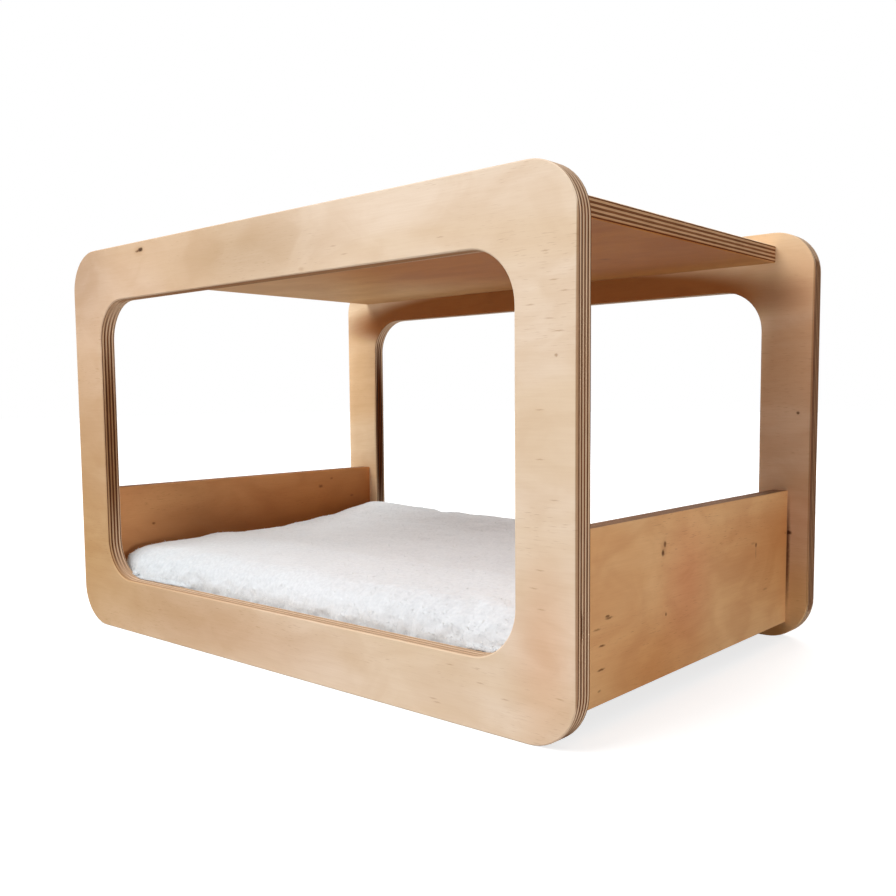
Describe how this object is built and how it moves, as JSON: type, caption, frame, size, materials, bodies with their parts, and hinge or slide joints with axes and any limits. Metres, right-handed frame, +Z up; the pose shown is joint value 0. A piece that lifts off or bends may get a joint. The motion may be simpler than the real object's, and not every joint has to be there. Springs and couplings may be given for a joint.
{
  "type": "cat wall shelf",
  "caption": "Open plywood cat cabin for a wall: two rounded ring frames joined by a roof, a floor and low side boards, with a loose fleece cushion.",
  "frame": {"origin": "under the middle of the shelf, at the level of the frames' lower edges", "axes": "+X to the right along the shelf's width, +Y from the front frame to the wall, +Z up"},
  "size_m": [0.6, 0.39, 0.37],
  "materials": {
    "frame_plywood": "clear-oiled birch plywood, 15 mm, with its plies showing at the routed edges",
    "board_plywood": "clear-oiled birch plywood, 15 mm",
    "fleece": "white short-pile fleece",
    "wadding": "bonded polyester wadding",
    "dowel_beech": "fluted beech dowel"
  },
  "bodies": {
    "shelf": {"front_frame": "frame_plywood", "rear_frame": "frame_plywood", "roof_board": "board_plywood", "floor_board": "board_plywood", "left_side_board": "board_plywood", "right_side_board": "board_plywood", "roof_dowel_front_left_outer": "dowel_beech", "roof_dowel_front_left_inner": "dowel_beech", "roof_dowel_front_right_inner": "dowel_beech", "roof_dowel_front_right_outer": "dowel_beech", "roof_dowel_rear_left_outer": "dowel_beech", "roof_dowel_rear_left_inner": "dowel_beech", "roof_dowel_rear_right_inner": "dowel_beech", "roof_dowel_rear_right_outer": "dowel_beech", "floor_dowel_front_left_outer": "dowel_beech", "floor_dowel_front_left_inner": "dowel_beech", "floor_dowel_front_right_inner": "dowel_beech", "floor_dowel_front_right_outer": "dowel_beech", "floor_dowel_rear_left_outer": "dowel_beech", "floor_dowel_rear_left_inner": "dowel_beech", "floor_dowel_rear_right_inner": "dowel_beech", "floor_dowel_rear_right_outer": "dowel_beech", "left_side_dowel_front_lower": "dowel_beech", "left_side_dowel_front_upper": "dowel_beech", "left_side_dowel_rear_lower": "dowel_beech", "left_side_dowel_rear_upper": "dowel_beech", "right_side_dowel_front_lower": "dowel_beech", "right_side_dowel_front_upper": "dowel_beech", "right_side_dowel_rear_lower": "dowel_beech", "right_side_dowel_rear_upper": "dowel_beech"},
    "cushion": {"cushion_cover": "fleece", "cushion_filling": "wadding"}
  },
  "joints": [
    {"name": "cushion_lift", "type": "slide", "parent": "shelf", "child": "cushion", "axis": [0, 0, 1], "range_m": [0, 0.24]}
  ]
}
